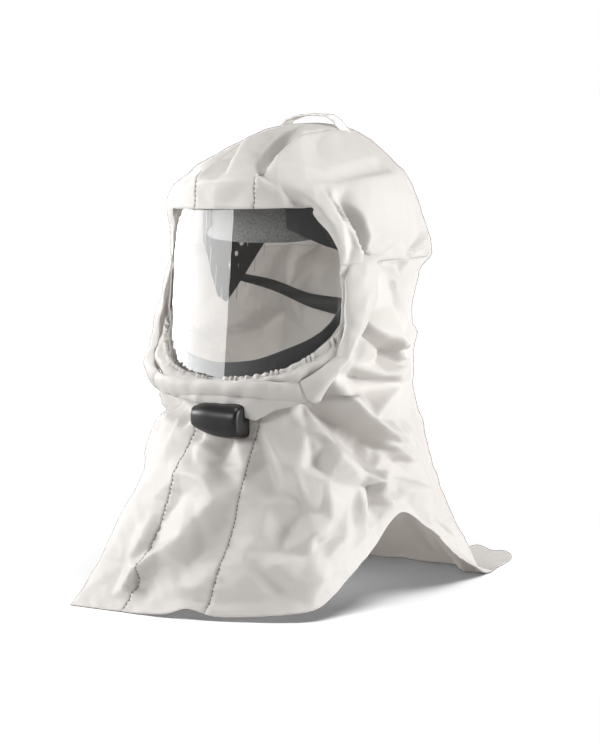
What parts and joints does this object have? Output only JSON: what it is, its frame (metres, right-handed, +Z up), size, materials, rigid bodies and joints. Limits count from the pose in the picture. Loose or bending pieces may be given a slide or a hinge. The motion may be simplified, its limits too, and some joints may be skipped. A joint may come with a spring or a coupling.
{
  "type": "long protective hood",
  "caption": "Long cloth hood with a clear curved visor, a head harness inside and a cape over the shoulders, standing on its own hem.",
  "frame": {"origin": "middle of the footprint's box, on the floor that the hems rest on", "axes": "+Z up, the visor faces -Y, the wearer's left is +X"},
  "size_m": [0.2858, 0.5542, 0.5199],
  "materials": {
    "cloth": "matt coated woven cloth, near white",
    "tape": "woven tape, near white",
    "visor_sheet": "clear polished plastic sheet",
    "black_plastic": "satin black moulded plastic",
    "grip_rubber": "satin black rubber",
    "strap": "woven elastic, dark grey",
    "knit": "grey towelling knit"
  },
  "bodies": {
    "root": {"crown_panel_centre": "cloth", "crown_panel_left": "cloth", "crown_panel_right": "cloth", "cape_panel_front": "cloth", "cape_wrap": "cloth", "visor_casing": "cloth", "visor_ruffle_left": "cloth", "visor_ruffle_right": "cloth", "hanging_loop": "tape", "visor": "visor_sheet", "visor_frame": "black_plastic", "chin_grip": "grip_rubber", "harness_plate_left": "black_plastic", "harness_plate_right": "black_plastic", "brow_clip_left": "black_plastic", "brow_clip_right": "black_plastic", "nape_strap": "strap", "sweatband": "knit"}
  },
  "joints": []
}
